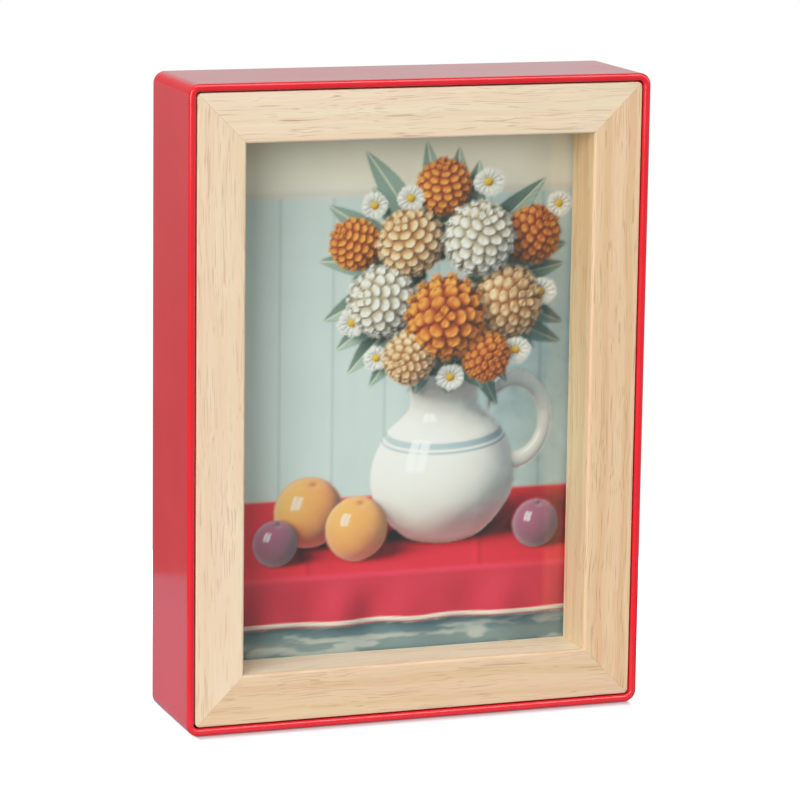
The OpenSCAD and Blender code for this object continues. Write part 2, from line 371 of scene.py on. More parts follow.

# %% The table top's white
# The colours that gloss sees on the floor are a painted reflection: cool, and darker in front where the
# glass mirrors the floor.
FLOOR_MIRRORED, FLOOR_IN_GLASS, GLASS_SEES = (0.30, 0.65, 0.76, 1), (0.24, 0.30, 0.30, 1), (-70.0, -35.0)
VEIL_FOOT, VEIL_NEAR, VEIL_FAR, VEIL_MIRRORED = 0.08, 0.90, 0.50, 0.08
NEAR_END, FAR_END, MIRRORED_END, RED_BOUNCE_END = 7.5, 180.0, 30.0, 9.0
VEIL_SIDE = 3.6
# The rosy tint that the veil takes near the foot is a painted reflection of the red band.
RED_BOUNCE_TINT = (1.0, 0.55, 0.65, 1)
BAND_CORNER_R, RIM_R = 3.8, 1.0
case_low_mm, case_high_mm = case_low / MM, case_high / MM

floor_white, shader, surface = material("floor_white", Roughness=0.9, Specular_IOR_Level=0.0)
place = millimetres()
at = measures(place)


def past(axis, half):
    """How far the spot lies outside the object's flat foot along one axis: its distance from the
    middle less half the foot's width, and never below 0."""
    return math("MAXIMUM", math("SUBTRACT", math("ABSOLUTE", at[axis]), half), 0.0)


past_side = times(past("X", case_high_mm[0] - BAND_CORNER_R), VEIL_SIDE)
past_front = past("Y", case_high_mm[1] - RIM_R)
away = math("SQRT", plus(times(past_side, past_side), times(past_front, past_front)))
rays = put("LightPath").outputs
# The veil is thinnest at the foot: the dark line there is partly the real shadow and partly painted shade.
veil = plus(rise(away, 0.0, NEAR_END, VEIL_FOOT, VEIL_NEAR), rise(away, NEAR_END, FAR_END, 0.0, VEIL_FAR))
# To gloss alone the floor also glows faintly right at the foot, a painted reflection in the band's lower
# round edge.
painted_foot_reflection = times(rays["Is Glossy Ray"], rise(away, 0.0, MIRRORED_END, VEIL_MIRRORED, 0.0))
veil = math("MULTIPLY_ADD", rays["Is Camera Ray"], veil, painted_foot_reflection)
white = mix(noise(place, 3.0)[0], paint(169, 169, 169), paint(172, 172, 172))
# What gloss sees of the floor is a painted reflection colour, not the floor's own white.
painted_reflection_tint = mix(rise(at["Y"], *GLASS_SEES), FLOOR_IN_GLASS, FLOOR_MIRRORED)
join(shader, {"Base Color": mix(rays["Is Glossy Ray"], white, painted_reflection_tint)})
# Near the foot the glow turns rosy, a painted reflection of the red band on the floor.
glow = put("Emission", {"Color": mix(rise(away, 0.0, RED_BOUNCE_END), RED_BOUNCE_TINT, WHITE), "Strength": veil})
link(put("AddShader", {0: shader.outputs[0], 1: glow.outputs[0]}).outputs[0], surface)
floor_mesh.materials.append(floor_white)
print("floor nodes", len(floor_white.node_tree.nodes))

# %% The lamps
aim = Vector((case_low + case_high) / 2)


def softbox(name, place, width, watts, tint=(1, 1, 1)):
    """A square soft area lamp that faces the middle of the object."""
    lamp = bpy.data.lights.new(name, "AREA")
    lamp.shape, lamp.size = "SQUARE", width
    lamp.energy, lamp.color = watts, tint
    made = add(name, lamp)
    made.location = place
    made.rotation_euler = (aim - Vector(place)).to_track_quat("-Z", "Y").to_euler()
    print(name, watts, "W")
    return made


softbox("key_softbox", (-1.607, -1.593, 0.732), 1.7, 52.0, (1.0, 0.985, 0.96))
softbox("fill_softbox", (1.5, -1.7, 0.7), 1.1, 10.5)
softbox("top_softbox", (-0.35, -0.55, 1.95), 1.0, 15.2, (0.96, 0.98, 1.0))
softbox("back_softbox", (-0.45, 1.95, 0.6), 1.2, 13.5).visible_glossy = False

# %% [markdown]
# ## The red coat
#
# The band is sheet metal with a sprayed and baked gloss coat. Such a coat is never quite flat: it
# has a faint ripple like orange peel, and its gloss varies a little. A flat red would look like
# plastic film. Ripple and cloudy gloss are one node group, because the band and the corner
# brackets were sprayed together, with more ripple on the brackets.

# %% Group: sprayed coat
RIPPLE, FINE_RIPPLE, CLOUD = 0.55, 5.0, 0.035

coat_look, given, out = group("sprayed_coat", ["Thick", "Thin"], ["Gloss", "Spread"])
ripple = noise(stretch(given["Place"], RIPPLE), 1.5)[0]
fine = noise(stretch(given["Place"], FINE_RIPPLE), 1.0)[0]
uneven = rise(noise(stretch(given["Place"], CLOUD))[0], *MOST_NOISE)
off_mean = math("SUBTRACT", uneven, 0.5)
join(out, {"Color": mix(uneven, given["Thin"], given["Thick"]),
           "Roughness": math("MULTIPLY_ADD", off_mean, given["Spread"], given["Gloss"]),
           "Height": math("MULTIPLY_ADD", fine, 0.12, ripple)})


def red_coat(name, thick, thin, gloss, spread, ripple_depth):
    """Gloss red coat over steel."""
    made, shader, _ = material(name, IOR=1.5)
    wear(shader, coat_look, millimetres(), ripple_depth, Thick=thick, Thin=thin, Gloss=gloss, Spread=spread)
    return made


band_coat = red_coat("band_coat", paint(231, 38, 50), paint(226, 34, 46), 0.13, 0.05, 0.004 * MM)
bracket_coat = red_coat("bracket_coat", paint(214, 34, 45), paint(200, 28, 40), 0.24, 0.10, 0.012 * MM)
print("coats", band_coat.name, bracket_coat.name)

# %% [markdown]
# ## The band
#
# The band is one strip of sheet, bent at four corners and welded into a ring, with both rims
# ground round. A bevelled box with a hole would leave the bend to the bevel tool. Here the strip's
# own section, a slim rectangle with round edges, is carried round a rectangle with round corners.
# Guard rows just beside each round edge keep the wide flats flat when they are shaded.

# %% Carry the strip's section round the corners
BAND_T = 2.35
EDGE_GUARD = 0.08
BEND_STEPS, RIM_STEPS = 20, 9


def strip_section():
    """Closed outline of the strip as inset from the outer face and depth: four round edges joined
    by flats, with a guard point just inside each end of a flat."""
    front, back = case_low_mm[1] + RIM_R, case_high_mm[1] - RIM_R
    middles = [(RIM_R, front), (BAND_T - RIM_R, front), (BAND_T - RIM_R, back), (RIM_R, back)]
    edges = [arc(middle, RIM_R, 180 + 90 * number, 270 + 90 * number, RIM_STEPS)
             for number, middle in enumerate(middles)]
    outline = []
    for edge, following in zip(edges, edges[1:] + edges[:1]):
        run = following[0] - edge[-1]
        guard = run / np.linalg.norm(run) * EDGE_GUARD
        outline += [edge, [edge[-1] + guard, following[0] - guard]]
    return np.vstack(outline)


def rounded_rectangle(low, high, radius, steps):
    """Points round a rectangle with round corners, with guard points beside each bend, and at
    each of them the way straight outwards."""
    points, outwards = [], []
    for number, (sx, sz) in enumerate([(1, 1), (-1, 1), (-1, -1), (1, -1)]):
        corner = np.array([(low[0], high[0])[sx > 0], (low[1], high[1])[sz > 0]])
        middle = corner - np.array([sx, sz]) * radius
        way = arc((0, 0), 1, 90 * number, 90 * number + 90, steps)
        along = np.stack([-way[:, 1], way[:, 0]], -1)
        bend = middle + radius * way
        points += [bend[:1] - along[:1] * EDGE_GUARD, bend, bend[-1:] + along[-1:] * EDGE_GUARD]
        outwards += [way[:1], way, way[-1:]]
    return np.vstack(points), np.vstack(outwards)


def carried_section():
    """Each point of the section, moved in from each point of the path by its inset."""
    path, outwards = rounded_rectangle(case_low_mm[[0, 2]], case_high_mm[[0, 2]], BAND_CORNER_R, BEND_STEPS)
    section = strip_section()
    flat = path[:, None] - outwards[:, None] * section[None, :, :1]
    depth = np.broadcast_to(section[None, :, 1], flat.shape[:2])
    return np.stack([flat[..., 0], depth, flat[..., 1]], -1)


band_points = carried_section()
band_faces = quads(*band_points.shape[:2], True, True)
piece("band_shell", band_points, [band_faces], "red_coat", "case_band", band_coat)

# %% [markdown]
# ## Pale hardwood
#
# The four rails are sawn from a pale, plain hardwood. Its bands drift between cream and peach, and
# its open pores show as long, faint brown lines along the grain. A picture of wood wrapped round a
# rail would break at each edge. This is solid wood: growth rings are distances from the heart of
# the trunk, bands and pores are noise drawn out along the grain, and every face cuts through the
# same pattern. The group works it out once, and each rail comes from another place in a board.

# %% Group: solid wood
RING_W, RING_LIMITS = 4.0, (0.36, 0.66)
PORE_LIMITS, STREAK_LIMITS = (0.61, 0.73), (0.64, 0.77)
TONE_SHARE, FIBRE_SHARE, PORE_SHARE, STREAK_SHARE = 0.30, 0.30, 0.26, 0.40
CREAM, PEACH = (0.98, 1.0, 0.95, 1), (1.0, 0.965, 0.955, 1)
# Depths behind the rails' face where the reveal's painted light and shade takes over from the face's
# colours.
BEHIND_FACE = (-19.2, -17.5)

wood_look, given, out = group("solid_wood", ["Pale", "Late", "Pore"], ["Figure", "Streaks"])


def drawn_out(place, length, width, detail=2.0, rough=0.5):
    """Noise whose features are so long along the grain and so wide across it, in millimetres."""
    return noise(stretch(place, 1 / length, 1 / width, 1 / width), detail, rough)[0]


sway = vector("SUBTRACT", noise(stretch(given["Place"], 0.022, 0.07, 0.07))["Color"], (0.5, 0.5, 0.5))[0]
bent = vector("ADD", stretch(sway, 0.0, 4.5, 4.5), given["Place"])[0]
from_heart = vector("LENGTH", stretch(bent, 0.0, 1.0, 1.0))["Value"]
rings = put("TexNoise", {"W": times(from_heart, 1 / RING_W), "Scale": 1.0, "Detail": 2.5,
                         "Roughness": 0.6}, noise_dimensions="1D").outputs[0]
late = times(rise(rings, *RING_LIMITS), given["Figure"])
tone = rise(drawn_out(bent, 60.0, 9.0), *MOST_NOISE, 0.0, TONE_SHARE)
blush = rise(drawn_out(bent, 110.0, 3.2, 3.0), 0.38, 0.62)
fibre = drawn_out(bent, 25.0, 0.45, 3.0, 0.6)
crowd = rise(drawn_out(bent, 28.0, 3.3), *MOST_NOISE, -0.10, 0.05)
pores = rise(plus(drawn_out(bent, 14.0, 0.30, 0.0), crowd), *PORE_LIMITS)
streak = times(rise(drawn_out(bent, 42.0, 0.5, 1.0), *STREAK_LIMITS), given["Streaks"])
colour = mix(math("MAXIMUM", late, tone), given["Pale"], given["Late"])
colour = mix(1.0, colour, mix(blush, CREAM, PEACH), "MULTIPLY")
colour = mix(rise(fibre, 0.35, 0.68, 0.0, FIBRE_SHARE), colour, given["Late"])
colour = mix(times(pores, PORE_SHARE), colour, given["Pore"])
colour = mix(times(streak, STREAK_SHARE), colour, given["Pore"])
join(out, {"Color": colour, "Roughness": rise(pores, 0.0, 1.0, 0.58, 0.70),
           "Height": math("MULTIPLY_ADD", pores, -1.0, times(fibre, 0.5))})


def pale_wood(name, colours, figure, streaks, heart, upright, drift, reveal_light_and_shade=None):
    """Wood whose grain runs along the rail. colours are pale, late and pore. heart moves the trunk's
    middle away from the rail. The last argument gives other pale and late colours to the part behind
    the rail's face, as painted light and shade on the reveal: an axis, two places along it, the pale
    and late colours at the first of them and those at the second."""
    made, shader, _ = material(name, Specular_IOR_Level=0.15)
    pale, late, pore = (paint(*levels) for levels in colours)
    # On the reveal the wood's colours give way to painted light and shade: darker where the reveal lies in
    # shade, paler where light falls on it.
    if reveal_light_and_shade:
        axis, start, end, *there = reveal_light_and_shade
        at = measures(millimetres())
        behind, along = rise(at["Y"], *BEHIND_FACE), rise(at[axis], start, end)
        first_pale, first_late, last_pale, last_late = (paint(*levels) for levels in there)
        pale = mix(behind, pale, mix(along, first_pale, last_pale))
        late = mix(behind, late, mix(along, first_late, last_late))
    turn = (0.0, np.pi / 2 + drift, drift) if upright else (0.0, drift, drift)
    wear(shader, wood_look, millimetres(heart, turn), 0.02 * MM, Pale=pale, Late=late, Pore=pore,
         Figure=figure, Streaks=streaks)
    return made


wood_top = pale_wood("wood_top", [(239, 223, 200), (227, 203, 171), (160, 104, 70)], 0.5, 1.0,
                     (310.0, 46.0, 70.0), False, 0.006)
wood_left = pale_wood("wood_left", [(238, 218, 194), (225, 197, 161), (168, 114, 80)], 0.6, 0.7,
                      (90.0, 42.0, -60.0), True, 0.007)
# The bottom rail's ledge is paler and greyer than its face, painted light and sheen on the surface that
# faces up.
wood_bottom = pale_wood("wood_bottom", [(231, 205, 177), (217, 184, 146), (160, 106, 72)], 0.6, 0.8,
                        (-140.0, 38.0, 95.0), False, -0.008,
                        ("Z", 12.0, 17.0, (231, 205, 177), (217, 184, 146),
                         (236, 229, 209), (221, 205, 173)))
# The right stile's reveal is duller than its face and darker towards the top, painted shade.
wood_right = pale_wood("wood_right", [(236, 207, 175), (220, 183, 143), (146, 92, 60)], 0.7, 1.0,
                       (520.0, 40.0, 120.0), True, -0.005,
                       ("Z", 40.0, 185.0, (226, 208, 176), (210, 184, 144),
                        (226, 200, 161), (210, 177, 131)))
print("boards", 4)

# %% [markdown]
# ## The four rails
#
# Each rail is one moulding, cut to 45 degrees at both ends: a flat face, a softened outer edge, a
# rounded sight edge, a deep reveal, and the rabbet that holds the glass and the print. It could be
# a box cut with other boxes. Here the moulding's section runs along the rail, and each of its
# points stops at the mitre, so a point further in stops sooner. At the frame's round outer
# corners the outer part of the section turns with the corner. Each mitre stops a hair short,
# because a real glued mitre shows as a fine line.

# %% The moulding's section
RABBET_W = 6.9
SIGHT_R, EDGE_R = 0.9, 0.4
RAIL_CORNER_R = 1.5


def node_box(node):
    """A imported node's lowest and highest corners, in millimetres."""
    return [np.array(corner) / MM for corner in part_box(node)]


rail_low, rail_high = node_box("frame_rail_top")
glass_low, glass_high = node_box("glass_pane")
wood_low = np.array([node_box("frame_stile_left")[0][0], node_box("frame_rail_bottom")[0][2]])
wood_high = np.array([node_box("frame_stile_right")[1][0], rail_high[2]])
rail_w = rail_high[2] - rail_low[2]
wood_w, wood_h = wood_high - wood_low
wood_face, wood_back = rail_low[1], rail_high[1]
wood_middle = (wood_low + wood_high) / 2
print("wooden frame", wood_w.round(2), "by", wood_h.round(2), "mm, rails", rail_w.round(2), "mm wide")


def moulding_section():
    """Closed outline as distance in from the outer edge and depth from front to back."""
    outer = arc((EDGE_R, wood_face + EDGE_R), EDGE_R, 180, 270, 5)
    reveal_light_and_shade = arc((rail_w - SIGHT_R, wood_face + SIGHT_R), SIGHT_R, 270, 360, 8)
    land = rail_w - RABBET_W
    turning = np.linspace(EDGE_R, RAIL_CORNER_R, 6)[1:]
    face = np.stack([np.append(turning, [rail_w / 2, rail_w - SIGHT_R - EDGE_GUARD]),
                     np.full(len(turning) + 2, wood_face)], -1)
    seat = glass_low[1]
    corners = [(rail_w, wood_face + SIGHT_R + EDGE_GUARD), (rail_w, seat), (land, seat), (land, wood_back)]
    behind = np.stack([np.append(turning[::-1], [EDGE_R, 0.0]), np.full(len(turning) + 2, wood_back)], -1)
    rim = [(0.0, wood_face + EDGE_R + EDGE_GUARD)]
    return np.vstack([outer, face, reveal_light_and_shade, corners, behind, rim])


# %% The moulding run along a rail
MITRE_HAIR = 0.03
TURN_STEPS = 8
LAST_STRAIGHT = 0.985


def moulding(length):
    """The section carried along a rail: a point further in than the corner's radius stops at the
    mitre, and one nearer the edge turns an eighth of a circle with the corner and stops there."""
    section = moulding_section()
    inset, depth = section[:, 0], section[:, 1]
    straight = np.array([0.0, 0.5, 0.9, LAST_STRAIGHT])[:, None]
    eighth = np.linspace(0, np.pi / 4, TURN_STEPS + 1)[:, None]
    turns = inset < RAIL_CORNER_R
    run = length / 2 - np.maximum(inset, RAIL_CORNER_R)
    reach = RAIL_CORNER_R - np.minimum(inset, RAIL_CORNER_R)
    share = LAST_STRAIGHT + (1 - LAST_STRAIGHT) * np.sin(eighth) / np.sin(np.pi / 4)
    along_turn = np.where(turns, run + reach * np.sin(eighth), run * share)
    across_turn = np.where(turns, RAIL_CORNER_R - reach * np.cos(eighth), inset)
    along_half = np.vstack([straight * run, along_turn])
    across_half = np.vstack([np.broadcast_to(inset, (len(straight), len(inset))), across_turn])
    along = np.vstack([-along_half[:0:-1], along_half]) * (1 - MITRE_HAIR * 2 / length)
    across = np.vstack([across_half[:0:-1], across_half])
    return along, across, np.broadcast_to(depth, along.shape)


# %% Four rails
def rail(name, length, reach, quarter_turns, finish):
    """The moulding stood at its side of the frame. reach is the distance from the frame's middle
    to the rail's outer edge, and each quarter turn goes on to the next side."""
    along, across, depth = moulding(length)
    side, out = along, reach - across
    for _ in range(quarter_turns):
        side, out = -out, side
    points = np.stack([side + wood_middle[0], depth, out + wood_middle[1]], -1)
    rows, columns = points.shape[:2]
    number = np.arange(rows * columns).reshape(rows, columns)
    faces = [quads(rows, columns, closed_columns=True), np.stack([number[0][::-1], number[-1]])]
    piece(name, points, faces, "pale_wood", "frame_" + name, finish)


rail("rail_top", wood_w, wood_h / 2, 0, wood_top)
rail("stile_left", wood_h, wood_w / 2, 1, wood_left)
rail("rail_bottom", wood_w, wood_h / 2, 2, wood_bottom)
rail("stile_right", wood_h, wood_w / 2, 3, wood_right)

# %% [markdown]
# ## The glass
#
# The pane is 2 mm float glass with ground edges. Clear glass has hardly a colour of its own, but
# its faces wave by a few thousandths of a millimetre, and both mirror a little. A transparent
# sheet would drop all that. The pane is a closed plate of real glass, and rays that carry light
# to the print pass it unbent, as light does in bulk.

# %% The pane
GROUND = 0.25
CLEARANCE = 0.01

float_glass, shader, surface = material("float_glass", Transmission_Weight=1.0, Roughness=0.0, IOR=1.5)
wave = noise(stretch(millimetres(), 0.03, 0.03, 0.012), 1.0)[0]
tint = mix(wave, (0.955, 0.985, 0.972, 1), (0.985, 0.995, 0.99, 1))
join(shader, {"Base Color": tint, "Normal": bump(wave, 0.004 * MM)})
rays = put("LightPath").outputs
carries_light = math("MAXIMUM", rays["Is Shadow Ray"], rays["Is Diffuse Ray"])
clear = put("BsdfTransparent", {"Color": (0.98, 1.0, 0.99, 1)})
both = put("MixShader", {0: carries_light, 1: shader.outputs[0], 2: clear.outputs[0]})
link(both.outputs[0], surface)


def plate(low, high, ground):
    """A plate with ground edges: the same rectangle four times, smaller at both faces, and a face
    across each end."""
    inset = np.array([ground, 0.0, 0.0, ground])[:, None]
    depth = np.array([low[1], low[1] + ground, high[1] - ground, high[1]])[:, None]
    sides = np.array([(-1, -1), (1, -1), (1, 1), (-1, 1)])
    half = np.array([high[0] - low[0], high[2] - low[2]]) / 2
    x = (low[0] + high[0]) / 2 + sides[:, 0] * (half[0] - inset)
    z = (low[2] + high[2]) / 2 + sides[:, 1] * (half[1] - inset)
    points = np.stack([x, np.broadcast_to(depth, x.shape), z], -1)
    return points, [np.vstack([quads(4, 4, closed_columns=True), [[3, 2, 1, 0], [12, 13, 14, 15]]])]


piece("glass_sheet", *plate(glass_low + CLEARANCE, glass_high - CLEARANCE, GROUND), "clear_glass",
      "glass_pane", float_glass, sharp=20.0)

# %% [markdown]
# ## The picture: a painter made of arrays
#
# The print shows a made-up still life in a window's light: a glazed jug of ball dahlias and
# daisies on a red cloth, with fruit, before a pale blue boarded wall. A few flat shapes of colour
# would do for a glance, but a print is looked at longer than anything else on a frame. So the
# picture is a small scene of its own, on a grid of spots. For each spot the Sketch keeps how near
# to the eye the surface there is, its slope, its colour and its gloss. A thing is laid over what
# lies farther off, and the light is worked out for all spots at the end. Sizes in the picture are
# millimetres of paper. The eye looks down on the table by 15 degrees.

# %% Smooth steps and soft noise
def unit(ways):
    """Directions made one unit long."""
    return ways / np.linalg.norm(ways, axis=-1, keepdims=True)


def split(value):
    """The whole number below a value, and what lies above it from 0 to 1."""
    whole = np.floor(value)
    return whole, value - whole


def ease(low, high, value):
    """Rises smoothly from 0 at low to 1 at high, or falls where high is the smaller."""
    t = np.clip((value - low) / (high - low), 0, 1)
    return t * t * (3 - 2 * t)


def scatter(i, j, seed):
    """A steady random number for each lattice point: the broken part of a large sine."""
    return np.modf(np.abs(np.sin(i * 127.1 + j * 311.7 + seed * 74.7) * 43758.5453))[0]


def soft_noise(x, y, seed=0.0):
    """Random heights at whole-number points, joined by smooth steps in both directions."""
    (i, s), (j, t) = split(x), split(y)
    s, t = ease(0, 1, s), ease(0, 1, t)
    low = scatter(i, j, seed) * (1 - s) + scatter(i + 1, j, seed) * s
    high = scatter(i, j + 1, seed) * (1 - s) + scatter(i + 1, j + 1, seed) * s
    return low * (1 - t) + high * t


def cloudy(x, y, seed=0.0):
    """Three layers of soft noise, each twice as fine and half as strong as the last."""
    return sum(soft_noise(x * 2**k, y * 2**k, seed + k) * 0.5 ** (k + 1) for k in range(3)) / 0.875


def ball(r, *off):
    """The height of a ball of radius r at spots so far off its middle in each direction."""
    height = r * r
    for measure in off:
        height = height - measure * measure
    return np.sqrt(np.clip(height, 0, None))


def blend(share, first, second):
    """Two colours blended at every spot: share 0 gives the first and 1 the second."""
    share = np.asarray(share, float)[..., None]
    return first * (1 - share) + second * share


print("mean of the soft noise:", soft_noise(*np.mgrid[0:40:0.5, 0:40:0.5]).mean().round(3))

# %% The sketch and its eye
SIN, COS = np.sin(np.radians(15)), np.cos(np.radians(15))
EVERYWHERE = (slice(None), slice(None))


class Sketch:
    """The picture's spots. near, slope, tint and gloss describe the surface seen at each of them."""

    def __init__(self, u, v):
        """Starts with nothing at any spot: u is how far right it is, and v how far up."""
        self.u, self.v = u, v
        self.step = u[0, 1] - u[0, 0]
        self.near = np.full(u.shape, -1000.0)
        self.slope = np.zeros(u.shape + (3,))
        self.tint = np.zeros(u.shape + (3,))
        self.gloss = np.zeros(u.shape)

    def around(self, seen, reach):
        """The spots within reach of a place as it is seen, how far right and up of it they are,
        and its nearness."""
        u, v, near = seen
        columns = np.searchsorted(self.u[0], [u - reach, u + reach])
        rows = np.searchsorted(self.v[:, 0], [v - reach, v + reach])
        part = slice(rows[0], rows[1] + 1), slice(columns[0], columns[1] + 1)
        return part, self.u[part] - u, self.v[part] - v, near

    def lay(self, part, here, near, tint, gloss=0.0, slope=None):
        """Lays a thing over what lies farther off, at the spots of the part where it is here. Its
        slope follows from how the nearness changes from spot to spot, unless one is given."""
        near = np.where(here, near, np.nan)
        if slope is None:
            dv, du = np.gradient(near, self.step)
            slope = unit(np.stack([-du, -dv, np.ones_like(near)], -1))
            slope[~np.isfinite(slope).all(-1)] = (0, 0, 1)
        wins = np.nan_to_num(near, nan=-1e4) > self.near[part]
        for kept, laid in ((self.near, near), (self.tint, tint), (self.gloss, gloss), (self.slope, slope)):
            kept[part][wins] = np.broadcast_to(laid, kept[part].shape)[wins]


def eye(x, y, z):
    """A place in the room (right, up, out from the wall) turned by the eye's tilt, which gives it
    across, up and near."""
    return x, y * COS - z * SIN, y * SIN + z * COS


def room(v, near):
    """The turn back: the height and the distance from the wall of what the eye has at v."""
    return v * COS + near * SIN, near * COS - v * SIN


print("a millimetre out from the wall shows", SIN.round(3), "mm lower")

# %% [markdown]
# ## The picture: wall, cloth and table
#
# These three are planes: a wall of boards under a moulding, a cloth that lies flat and then hangs
# in folds to a piped hem, and a worn painted apron. Where a plane lies at each spot follows from
# the tilt of the eye alone, so each is one formula.

# %% Wall, cloth and apron
TABLE_Y, TABLE_Z = -34.0, 96.0
BOARD_W = 17.5
WAINSCOT_Y = 66.0
EDGE_ROLL = 2.2
HEM_DROP = 17.5


def wall(s):
    """A plane upright at the back: nearness grows with height as the tangent of the eye's tilt."""
    y = s.v / COS
    board, across = split((s.u + 5.0) / BOARD_W)
    groove = ease(0.035, 0.0, np.minimum(across, 1 - across))
    tone = 1 + 0.07 * (scatter(board, 0, 3.0) - 0.5) - 0.10 * cloudy(s.u / 3, y / 30, 5.0)
    blue = linear(178, 203, 205) * (tone * (1 - 0.42 * groove))[..., None]
    cream = linear(226, 219, 197) * (1 - 0.05 * cloudy(s.u / 20, y / 20, 8.0))[..., None]
    above = y - WAINSCOT_Y
    rounded = linear(216, 211, 196) * (0.93 + 0.12 * np.sin((above - 1.5) * 1.3))[..., None]
    tint = blend(ease(2.4, 1.9, np.abs(above - 1.5)), blend(above >= 0, blue, cream), rounded)
    s.lay(EVERYWHERE, True, s.v * SIN / COS, tint, 0.0, (0.0, -SIN, COS))


def cloth(s):
    """Flat on the table with two long creases, then over its edge in folds that deepen downwards."""
    flat = (TABLE_Y - s.v * COS) / SIN
    _, z = room(s.v, flat)
    crease = 0.9 * cloudy(s.u / 26 + z / 40, z / 19, 21.0)
    for place in (-31.0, 27.0):
        crease = crease + 0.5 * np.exp(-((s.u - place) / 1.2) ** 2)
    dz, dx = np.gradient(crease, s.step)
    slope = unit(np.stack([-dx, COS - dz * 0.45, SIN + 0 * dx], -1))
    weave = (0.92 + 0.16 * soft_noise(s.u * 2.2, z * 2.2, 31.0))[..., None]
    s.lay(EVERYWHERE, (z > -2) & (z < TABLE_Z), flat, linear(205, 28, 44) * weave, 0.0, slope)
    hanging = (TABLE_Z + s.v * SIN) / COS
    y, _ = room(s.v, hanging)
    below = TABLE_Y - y
    ripple = np.sin(s.u / 5.3 + 1.1 * np.sin(s.u / 15))
    hem = HEM_DROP + 0.35 * ripple
    piping = ease(0.9, 0.5, np.abs(below - hem + 1.0))
    roll = EDGE_ROLL * (1 - np.sqrt(1 - (1 - np.clip(below / EDGE_ROLL, 0, 1)) ** 2))
    near = hanging + (1.5 * ripple + 0.8 * np.sin(s.u / 2.9 + 2)) * ease(0, 14, below) - roll + 0.5 * piping
    weave = (0.93 + 0.14 * soft_noise(s.u * 2.2, y * 2.2, 33.0))[..., None]
    tint = blend(piping, linear(196, 36, 56), linear(222, 214, 196)) * weave
    s.lay(EVERYWHERE, (below > -0.4) & (below < hem), near, tint)


def apron(s):
    """The painted board under the cloth, worn pale along its lower edge."""
    near = (TABLE_Z - 4 + s.v * SIN) / COS
    y, _ = room(s.v, near)
    below = TABLE_Y - y
    worn = ease(0.52, 0.7, cloudy(s.u / 9, y / 2.2, 41.0) + 0.25 * np.exp(-((below - 30) / 2.0) ** 2))
    tint = blend(worn, linear(104, 131, 137), linear(176, 186, 182))
    s.lay(EVERYWHERE, below > 8, near, tint)


print("table", TABLE_Z, "mm deep, its cloth hangs down", HEM_DROP, "mm")

# %% [markdown]
# ## The picture: jug and fruit
#
# A thrown pot is a radius for every height. The eye's ray meets it where the distance from its
# axis equals that radius, which a few steps up and down the ray find. The handle is a ring and
# the fruits are balls with a dimple, which need no search.

# %% Jug, handle and fruit
JUG_X, JUG_Z, JUG_H = 15.0, 52.0, 57.0
FOOT_R, BELLY_SWELL, BELLY_TOP, BELLY_SAG = 12.5, 12.0, 0.78, 0.85
NECK_R, LIP_FLARE, NECK_FROM, NECK_AT = 11.2, 5.0, 0.62, 0.80
HANDLE_R, HANDLE_T = 11.5, 2.4
GLAZE = linear(226, 222, 212)


def jug(s):
    """A round belly that narrows to a neck and widens again to the lip, by height: a sine below,
    a smooth step above."""
    part, u, _, middle = s.around(eye(JUG_X, TABLE_Y + JUG_H / 2, JUG_Z), JUG_H * 0.75)
    v = s.v[part]
    near = np.full(u.shape, middle)

    def radius(y):
        """The belly's radius low down, and the neck's and lip's further up."""
        h = np.clip((y - TABLE_Y) / JUG_H, 0, 1)
        belly = FOOT_R + BELLY_SWELL * np.sin(np.pi * np.clip(h / BELLY_TOP, 0, 1) ** BELLY_SAG)
        neck = ease(NECK_FROM, NECK_AT, h)
        return belly * (1 - neck) + (NECK_R + LIP_FLARE * ease(NECK_AT, 1.0, h)) * neck

    for _ in range(14):
        y, _ = room(v, near)
        near = 0.5 * near + 0.5 * ((JUG_Z + ball(radius(y), u) + v * SIN) / COS)
    y, _ = room(v, near)
    h = (y - TABLE_Y) / JUG_H
    bands = ease(0.02, 0.012, np.abs(h - 0.60)) + ease(0.008, 0.004, np.abs(h - 0.565))
    tint = blend(ease(0.04, 0.02, h), blend(bands, GLAZE, linear(120, 146, 158)), linear(190, 168, 140))
    tint = tint * (1 - 0.12 * (soft_noise(u * 2.1, y * 2.1, 51.0) > 0.93))[..., None]
    s.lay(part, (np.abs(u) < radius(y)) & (h > 0) & (h < 1), near, tint, 1.0)


def handle(s):
    """A ring seen edge on, thick as a half circle across its width, and cut off inside the jug."""
    part, u, v, at_near = s.around(eye(JUG_X + 23.5, TABLE_Y + 37, JUG_Z), HANDLE_R + HANDLE_T + 2)
    ring = np.hypot(u * 1.05, v * 0.86) - HANDLE_R
    s.lay(part, (np.abs(ring) < HANDLE_T) & (u > -9.0), at_near + ball(HANDLE_T, ring), GLAZE, 1.0)


def fruit(s, x, z, r, ripe, green, seed, gloss):
    """A ball with a dimple near its top and a finely pitted skin, blushed by slow noise."""
    part, u, v, at_near = s.around(eye(x, TABLE_Y + r * 0.96, z), r + 1)
    top = eye(0.15 * r, 0.9 * r, 0.35 * r)
    off = np.hypot(u - top[0], (v - top[1]) * 1.8) / r
    height = ball(r, u, v)
    near = at_near + height - 1.6 * np.exp(-(off / 0.16) ** 2) + 0.035 * soft_noise(u * 1.9, v * 1.9, seed)
    tint = blend(cloudy(u / 9 + seed, v / 9, seed), green, ripe)
    tint = tint * (1 - 0.5 * np.exp(-(off / 0.10) ** 2))[..., None]
    s.lay(part, height > 0, near, tint, gloss)


print("jug", JUG_H, "mm high, belly", FOOT_R + BELLY_SWELL, "mm from its axis")

# %% [markdown]
# ## The picture: flowers and leaves
#
# A ball dahlia is a sphere on which petals stand in rings about the stalk, each ring set half a
# petal further round. A petal is full in its middle and falls to nothing at its edges, and the
# sphere grows by it, so the outline is scalloped too. Daisies are flat stars of rays round a
# domed heart, and a leaf is a pointed sheet folded along its midrib.

# %% Ball dahlias
PETAL_RING, PETALS = 0.27, 15.7


